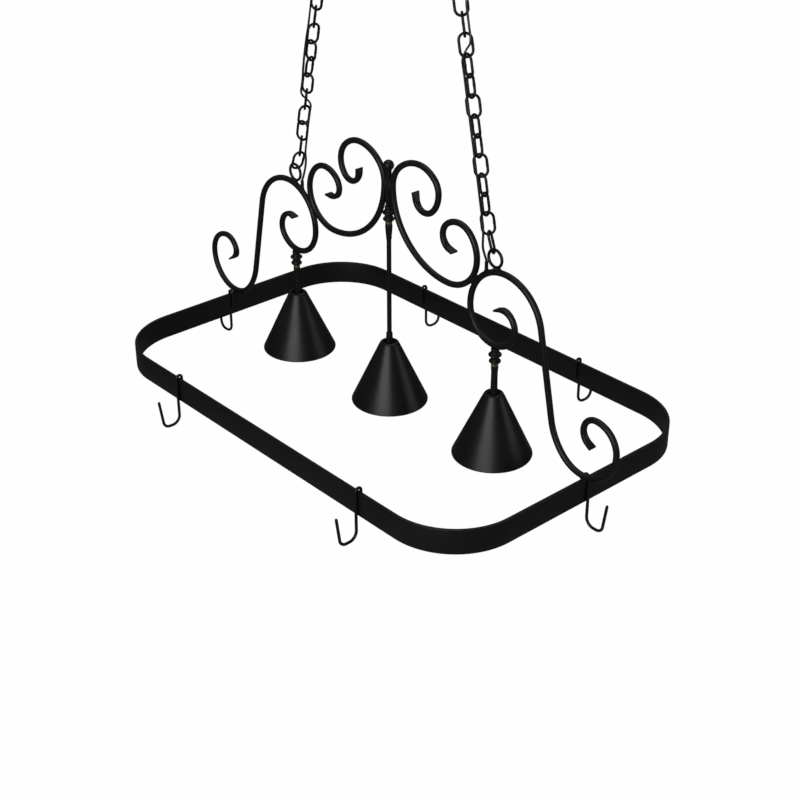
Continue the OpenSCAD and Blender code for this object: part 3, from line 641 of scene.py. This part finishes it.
for side, word in bothSides:
    tilt = lean + firstTilt
    far = (chain["firstAt"] + reach / 2) / 1000
    lowest = Vector((side * (eye.x - far * math.sin(tilt)), 0, eye.z + far * math.cos(tilt)))
    links = [(lowest, tilt, chain[word][0])]
    for i in range(1, chain["count"] + 1):
        links.append((onChain(side, secondAt + (i - 1) * pitch + reach / 2), lean, chain[word][i]))
    linksPiece("chain" + word, side, links[:-1], word.lower() + "_chain", "chain_" + word.lower())
    linksPiece("topLink" + word, side, links[-1:], "top_links", "top_link_" + word.lower())
print("chains made")


# weld beads, by geometry nodes
# a bead along two rods is (half its length, distance from the scrolls' plane, radius)
# a bead round a post is (radius of its ring, radius), and round the inlet also its slope
weld = {"ripple": 0.16, "pitch": 1.9, "step": 0.45, "sides": 12,
    "foot": (3.4, 2.3, 1.5), "eye": (7.5, 1.3, 1.7), "shoulder": (9, 2.1, 1.7), "post": (8.5, 2.1, 1.6),
    "sideLight": (5.2, 1.2), "centreLight": (4.9, 1.0), "inlet": (2.6, 0.9, 0.6),
    "footZ": 19.8, "postX": 4.83, "overSide": 0.4, "overCentre": 0.3, "overLoop": 0.2}
# the outer scroll's loop hangs under the eye ring, and the lamp wire's tube stands on it
loop = {"toEye": 88.4, "eyeAngle": 13, "outside": 72.8, "rodTop": 72.75}
inlet = {"angle": 33, "radius": 68, "above": 19}
eyeTilt, inletTilt = math.radians(loop["eyeAngle"]), math.radians(inlet["angle"])
loopMid = Vector((eye.x * 1000 + loop["toEye"] * math.sin(eyeTilt), 0,
    (eye.z - bandZ) * 1000 - loop["toEye"] * math.cos(eyeTilt)))


def beadTree():
    # every line of the mesh becomes a rippled bead as thick as its beadRadius
    sizes = {"Ripple": weld["ripple"], "Pitch": weld["pitch"] / 1000, "Step": weld["step"] / 1000}
    tree, given = startTree("weldBeads", sizes)
    new, link, maths = tree.nodes.new, tree.links.new, mathsIn(tree)
    line = new("GeometryNodeMeshToCurve")
    link(given["Geometry"], line.inputs["Mesh"])
    even = new("GeometryNodeResampleCurve")
    even.mode = "LENGTH"
    link(line.outputs["Curve"], even.inputs["Curve"])
    link(given["Step"], even.inputs["Length"])
    along = new("GeometryNodeSplineParameter")
    size = new("GeometryNodeInputNamedAttribute")
    size.data_type = "FLOAT"
    size.inputs["Name"].default_value = "beadRadius"
    t = along.outputs["Factor"]
    hump = maths("MULTIPLY", maths("MULTIPLY", t, maths("SUBTRACT", 1.0, t)), 4.0)
    bulge = maths("POWER", maths("MAXIMUM", hump, 0.04), 0.3)            # round ends
    turns = maths("DIVIDE", along.outputs["Length"], given["Pitch"])
    wave = maths("SINE", maths("MULTIPLY", turns, 2 * math.pi))
    ripple = maths("ADD", maths("MULTIPLY", wave, given["Ripple"]), 1.0)
    radius = maths("MULTIPLY", maths("MULTIPLY", bulge, ripple), size.outputs["Attribute"])
    ring = new("GeometryNodeCurvePrimitiveCircle")
    ring.inputs["Resolution"].default_value = weld["sides"]
    ring.inputs["Radius"].default_value = 1.0
    endTree(tree, skinned(tree, even.outputs["Curve"], radius, ring.outputs["Curve"], True), given["Finish"])
    return tree


def weldLines():
    # (radius, points) for every bead on the rack
    lines = []

    def across(side, centre, along, reach, off, radius):
        for y in (-off, off):
            dots = [centre + along * (reach * (k / 4 - 1)) for k in range(9)]
            lines.append((radius, [(side * p.x, y, p.z) for p in dots]))

    def around(cx, cz, r, radius, slope=0.0):
        turns = [2 * math.pi * k / 24 for k in range(25)]
        ring = [(r * math.cos(a), r * math.sin(a)) for a in turns]
        lines.append((radius, [(cx + x, y, cz + slope * x) for x, y in ring]))

    # where the inner scroll's last two bends meet, heading 45 degrees up
    shoulderAt = walk(postTouch, -90, innerDown[:4], 3)[-1]
    shoulder, up = innerDown[4][0], math.radians(45)
    shoulderMid = Vector((shoulderAt[0] - shoulder * math.sin(up), 0, shoulderAt[1] + shoulder * math.cos(up)))
    toEye = Vector((-math.sin(eyeTilt), 0, math.cos(eyeTilt)))
    pastEye = Vector((math.cos(eyeTilt), 0, math.sin(eyeTilt)))
    toShoulder = (shoulderMid - loopMid).normalized()
    pastShoulder = Vector((-toShoulder.z, 0, toShoulder.x))
    inletOut = inlet["radius"] * math.sin(inletTilt)
    inletZ = loopMid.z + math.sqrt(loop["rodTop"] ** 2 - inletOut ** 2)
    for side in (-1, 1):
        across(side, Vector((foot[0], 0, weld["footZ"])), Vector((1, 0, 0)), *weld["foot"])
        across(side, loopMid + toEye * loop["outside"], pastEye, *weld["eye"])
        across(side, loopMid + toShoulder * loop["outside"], pastShoulder, *weld["shoulder"])
        across(side, Vector((weld["postX"], 0, postTouch[1])), Vector((0, 0, 1)), *weld["post"])
        around(side * lightX * 1000, light["sideTop"] + weld["overSide"], *weld["sideLight"])
        thick, bead, slope = weld["inlet"]
        around(side * (loopMid.x - inletOut), inletZ + weld["overLoop"], thick, bead, side * slope)
    around(0, light["centreTop"] + weld["overCentre"], *weld["centreLight"])
    return lines


def weldPiece():
    points, edges, sizes = [], [], []
    for radius, dots in weldLines():
        first = len(points)
        points += [place(*d) for d in dots]
        edges += [(first + i, first + i + 1) for i in range(len(dots) - 1)]
        sizes += [radius / 1000] * len(dots)
    mesh = bpy.data.meshes.new("weldBeads")
    mesh.from_pydata(points, edges, [])
    mesh.attributes.new("beadRadius", "FLOAT", "POINT").data.foreach_set("value", sizes)
    o = bpy.data.objects.new("weldBeads", mesh)
    scene.collection.objects.link(o)
    bakeNodes(o, beadTree(), Finish=ironCoat)
    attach(o, "rack")


weldPiece()
for word in ("left", "right"):
    nodes["wire_inlet_" + word].data.materials[0] = ironCoat
print("welds made")


# ceiling fittings
canopy = {"radius": 56, "depth": 24, "wall": 1.2}
domeRadius = (canopy["radius"] ** 2 + canopy["depth"] ** 2) / (2 * canopy["depth"])
toCeiling = -bandZ * 1000


def domeLine(r, inset):
    return domeRadius - canopy["depth"] - math.sqrt((domeRadius - inset) ** 2 - r * r)


outside = [(r, domeLine(r, 0)) for r in (3.3, 8, 14, 20, 26, 32, 38, 44, 49, 53, 55.6)]
edge = [(56, -0.3), (55.7, 0), (54.4, -0.1)]
inside = [(r, domeLine(r, canopy["wall"])) for r in (52.6, 48, 42, 36, 30, 24, 18, 12, 7, 3.3)]
loopCollar = [(0, -36.15), (5.5, -36.15), (8, -34.6), (8, -25.4), (6.8, -24.15), (0, -24.15)]
for side, word in bothSides:
    x = side * studX * 1000
    key = word.lower()
    lathe("canopy" + word, outside + edge + inside, x, toCeiling, ironCoat, "ceiling_fittings", "canopy_" + key,
        segments=120, closed=True, sharp=50)
    centre = Vector((side * studX, 0, pivotZ + ceilingLoop["mean"] / 1000))
    ringPiece("ceilingLoop" + word, centre, ceilingLoop, "ceiling_fittings", "ceiling_loop_" + key)
    lathe("loopCollar" + word, filleted(loopCollar, 0.7), x, toCeiling, ironCoat, "ceiling_fittings",
        segments=48, sharp=40)
    nodes["hanger_stud_" + key].data.materials[0] = zincSteel
    nodes["wire_bushing_" + key].data.materials[0] = blackPhenolic
print("ceiling fittings made")


# lamp wires, two cores side by side
# points on a chain are (distance up from the eye ring, across, towards the back)
flex = {"core": 1.48, "apart": 0.32, "turnPerMetre": 900, "step": 1.6, "coreSteps": 8, "coreArc": 130,
    "intoInlet": 9, "stillOver": 4,
    "entry": [(14, 14, -18.5), (14, 14, -29.5), (13, 13, -40), (10, 10, -51)],
    "Left": [(362, -5.5, -6.1), (340, -5.5, -6.1), (318, -5.5, -6.1), (296, -5.5, -6.1),
        (274, -5.5, -6.1), (256, -5.6, -6.3), (242, -6, -6.7), (228, -6.3, -7), (214, -6.4, -7.1),
        (200, -6.4, -7.1), (186, -6.2, -6.8), (172, -5.8, -6.4), (159, -5.6, -6.2), (150, -5.8, -6.5),
        (144, -5.6, -6.2), (139, -3.7, -4.1), (134.5, 0, 0), (130, 3.7, 4.1), (125, 5.6, 6.2),
        (119, 5.8, 6.5), (110, 5.6, 6.2), (90, 5.5, 6.1), (75, 5.5, 6.1), (60, 5.5, 6.1),
        (48, 5.5, 6.1), (38, 6.1, 6.4)],
    "Right": [(362, 9.3, 4), (352, 8.2, 2.7), (338, 7.9, 2.6), (322, 7.9, 2.6), (308, 8, 2.5),
        (300, 8.3, -0.3), (294, 6.7, -6), (287, 3, -8.7), (280, -0.6, -9.2), (272, -1.8, -8.5),
        (258, -1.8, -8.1), (240, -1.8, -8.1), (220, -1.8, -8.1), (200, -1.8, -8.1), (180, -1.8, -8.1),
        (160, -1.8, -8.1), (140, -1.8, -8.1), (120, -1.8, -8.1), (100, -1.8, -8.1), (80, -1.8, -8.1),
        (60, -1.8, -8.1), (48, -1.9, -8.3), (38, -2.5, -9), (28, -4.5, -9.4), (16, -9.2, -6.8)],
    "bendLeft": [(379.1, -8, -8.6), (371.1, -6.6, -7.3)],
    "bendRight": [(379.1, 10, 6.5), (371.1, 10, 5)],
    "tailLeft": [(28, 7.6, 7.4), (15, 10.2, 5.5), (3, 12.2, 2.2)],
    "tailRight": [(3, -12, -2.4)]}


def smoothed(points, gap):
    # a curve through the points, with the place of each point in it
    out, marks = [points[0]], [0]
    for i in range(len(points) - 1):
        a, b, c, d = points[max(i - 1, 0)], points[i], points[i + 1], points[min(i + 2, len(points) - 1)]
        count = max(2, math.ceil((c - b).length / gap))
        for k in range(1, count + 1):
            t = k / count
            out.append(((2 * b) + (c - a) * t + (2 * a - 5 * b + 4 * c - d) * t * t
                + (3 * b - a - 3 * c + d) * t ** 3) / 2)
        marks.append(len(out) - 1)
    return out, marks


def flexRings(path):
    # two round cores side by side, slowly twisting along the path
    line = []
    for side in (1, -1):
        for k in range(flex["coreSteps"] + 1):
            a = math.radians(-flex["coreArc"] + 2 * flex["coreArc"] * k / flex["coreSteps"])
            across, up = flex["core"] * math.cos(a), flex["core"] * math.sin(a)
            line.append((side * (flex["apart"] + across), side * up))
    rings, along = [], 0.0
    across = Vector((0, 1, 0))
    before = path[0]
    for p, t in zip(path, headings(path)):
        across = (across - t * across.dot(t)).normalized()
        along += (p - before).length
        before = p
        turned = Quaternion(t, math.radians(flex["turnPerMetre"] * along)) @ across
        up = t.cross(turned)
        rings.append([p + (turned * u + up * v) / 1000 for u, v in line])
    return rings


for side, word in bothSides:
    key = word.lower()
    mouth = place(side * (loopMid.x - inlet["radius"] * math.sin(inletTilt)), 0,
        loopMid.z + inlet["radius"] * math.cos(inletTilt) + inlet["above"])
    entry = flex["entry"] + [(8, 8, pivotZ * 1000)]
    entry = [Vector((side * (studX * 1000 + a), side * b, c)) / 1000 for a, b, c in entry]
    main = [onChain(side, *p) for p in flex["bend" + word] + flex[word]]
    inside = mouth - Vector((0, 0, flex["intoInlet"] / 1000))
    tail = [onChain(side, *p) for p in flex["tail" + word]] + [mouth, inside]
    path, marks = smoothed(entry + main + tail, flex["step"] / 1000)
    rings = flexRings(path)
    first, second = marks[len(entry) - 1], marks[len(entry) + len(main) - 1]
    top, chainBody = "top_links", key + "_chain"
    for name, a, b, stretches in (("wireEntry", 0, first, ["wire_entry_"]),
            ("wireRun", first, second, ["wire_bend_", "wire_"]),
            ("wireTail", second, len(path) - 1, ["wire_tail_"])):
        points, faces = sweptMesh(rings[a:b + 1])
        # the right tail only rides, because no joint joins the right chain to the rack
        body = "rack" if name == "wireTail" and side > 0 else None
        piece = meshPiece(name + word, points, faces, clearFlex, body, *(n + key for n in stretches),
            slot="clear_flex", sharp=70)
        if name == "wireEntry":
            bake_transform(piece)
        elif name == "wireRun":
            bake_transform(piece)
        elif side < 0:
            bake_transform(piece)
print("lamp wires made")


# pot hooks
hook = {"wire": 4.6, "over": 4.85, "leg": 29, "shank": 65, "bend": 14, "low": 5, "rise": 12, "turn": 82,
    "tip": 40, "top": 19, "bendStep": 6, "step": 3, "sides": 20, "endShare": 0.55,
    "endRows": [0.15, 0.5, 1.0, 1.6]}


def hookPath():
    legs = [(0, hook["leg"]), (hook["over"], -180), (0, hook["shank"]), (hook["bend"], 90), (0, hook["low"]),
        (hook["rise"], hook["turn"]), (0, hook["tip"])]
    line = walk((-hook["over"], hook["top"] - hook["leg"]), 90, legs, hook["bendStep"])
    fine = [line[0]]
    for p in line[1:]:
        q = fine[-1]
        steps = max(1, math.ceil(math.dist(p, q) / hook["step"]))
        for k in range(1, steps + 1):
            t = k / steps
            fine.append((q[0] + (p[0] - q[0]) * t, q[1] + (p[1] - q[1]) * t))
    return fine


def hookPiece(name, replaced, centre, outward):
    # centre is in the middle of the bar's wall, outward the horizontal way out of the ring
    line = [Vector(centre) + Vector(outward) * u + Vector((0, 0, v)) for u, v in hookPath()]
    r = hook["wire"] / 2
    rows = hook["endRows"]
    stops = [line[0] + (line[1] - line[0]).normalized() * e for e in rows]
    ends = [line[-1] + (line[-2] - line[-1]).normalized() * e for e in rows[::-1]]
    line = [line[0]] + stops + line[1:-1] + ends + [line[-1]]
    at = distances(line)
    across = Vector((-outward[1], outward[0], 0))
    turns = [2 * math.pi * j / hook["sides"] for j in range(hook["sides"])]
    rings = []
    for p, t, d in zip(line, headings(line), at):
        out = t.cross(across)
        k = max(hook["endShare"], roundedEnd(d, at[-1], r) / r) * r
        rings.append([place(*(p + (out * math.cos(a) + across * math.sin(a)) * k)) for a in turns])
    points, faces = sweptMesh(rings)
    meshPiece(name, points, faces, hookCoat, replaced, replaced, sharp=60)


wallX, wallY = halfLength * 1000, halfWidth * 1000
for name, replaced, centre, outward in (
        ("hookFrontLeft", "hook_front_left", (-215, -wallY, 0), (0, -1, 0)),
        ("hookFrontRight", "hook_front_right", (228, -wallY, 0), (0, -1, 0)),
        ("hookBackLeft", "hook_back_left", (-201, wallY, 0), (0, 1, 0)),
        ("hookBackRight", "hook_back_right", (171, wallY, 0), (0, 1, 0)),
        ("hookSideLeft", "hook_side_left", (-wallX, -10, 0), (-1, 0, 0)),
        ("hookSideRight", "hook_side_right", (wallX, 8, 0), (1, 0, 0))):
    hookPiece(name, replaced, centre, outward)
print("hooks made")


# floor, world, lamps
studio = {"floorZ": -1.9, "floorSize": 60, "floorTone": 0.3, "glow": 1.02, "share": 0.97, "ambient": 0.12}


def seenDirectly(tree):
    # 1 for the camera's own rays and for rays that pass through a piece
    path, seen = tree.nodes.new("ShaderNodeLightPath"), tree.nodes.new("ShaderNodeMath")
    seen.operation = "MAXIMUM"
    tree.links.new(path.outputs["Is Camera Ray"], seen.inputs[0])
    tree.links.new(path.outputs["Is Transmission Ray"], seen.inputs[1])
    return seen.outputs[0]


def paleBackdrop(m):
    # white to the camera, with a small part of the floor's own light and shadow
    tree = m.node_tree
    glow = addNode(m, "ShaderNodeEmission", Strength=studio["glow"])
    share = addNode(m, "ShaderNodeMath", operation="MULTIPLY")
    tree.links.new(seenDirectly(tree), share.inputs[0])
    share.inputs[1].default_value = studio["share"]
    mix = addNode(m, "ShaderNodeMixShader")
    tree.links.new(share.outputs[0], mix.inputs[0])
    tree.links.new(tree.nodes["Principled BSDF"].outputs[0], mix.inputs[1])
    tree.links.new(glow.outputs[0], mix.inputs[2])
    tree.links.new(mix.outputs[0], tree.nodes["Material Output"].inputs["Surface"])


floorPale = material("floorPale", (studio["floorTone"],) * 3, 0.9)
paleBackdrop(floorPale)
bpy.ops.mesh.primitive_plane_add(size=studio["floorSize"], location=(0, 0, studio["floorZ"]))
floor = bpy.context.object
floor.name = "floor"
floor.data.materials.append(floorPale)

world = bpy.data.worlds.new("studio")
scene.world = world
world.use_nodes = True
tree = world.node_tree
sky = tree.nodes["Background"]
sky.inputs["Color"].default_value = (1, 1, 1, 1)
level = tree.nodes.new("ShaderNodeMapRange")
level.inputs["To Min"].default_value = studio["ambient"]
level.inputs["To Max"].default_value = 1.0
tree.links.new(seenDirectly(tree), level.inputs["Value"])
tree.links.new(level.outputs["Result"], sky.inputs["Strength"])


def lamp(name, spot, size, power):
    # an area lamp that faces the middle of the rack
    source = bpy.data.lights.new(name, "AREA")
    source.shape = "RECTANGLE"
    source.size, source.size_y = size
    source.energy = power
    o = bpy.data.objects.new(name, source)
    o.location = spot
    o.rotation_euler = (Vector((0, 0, bandZ + 0.1)) - Vector(spot)).to_track_quat("-Z", "Y").to_euler()
    scene.collection.objects.link(o)


lamp("keyLamp", (1.3, -2.8, bandZ + 1.3), (2.4, 1.9), 44)
lamp("fillLamp", (3.2, 2.2, bandZ + 0.6), (1.6, 1.6), 8)
lamp("topLamp", (-0.3, 0.5, bandZ + 2.6), (2.2, 2.2), 14)

scene.view_settings.view_transform = "Standard"
print("scene ready")
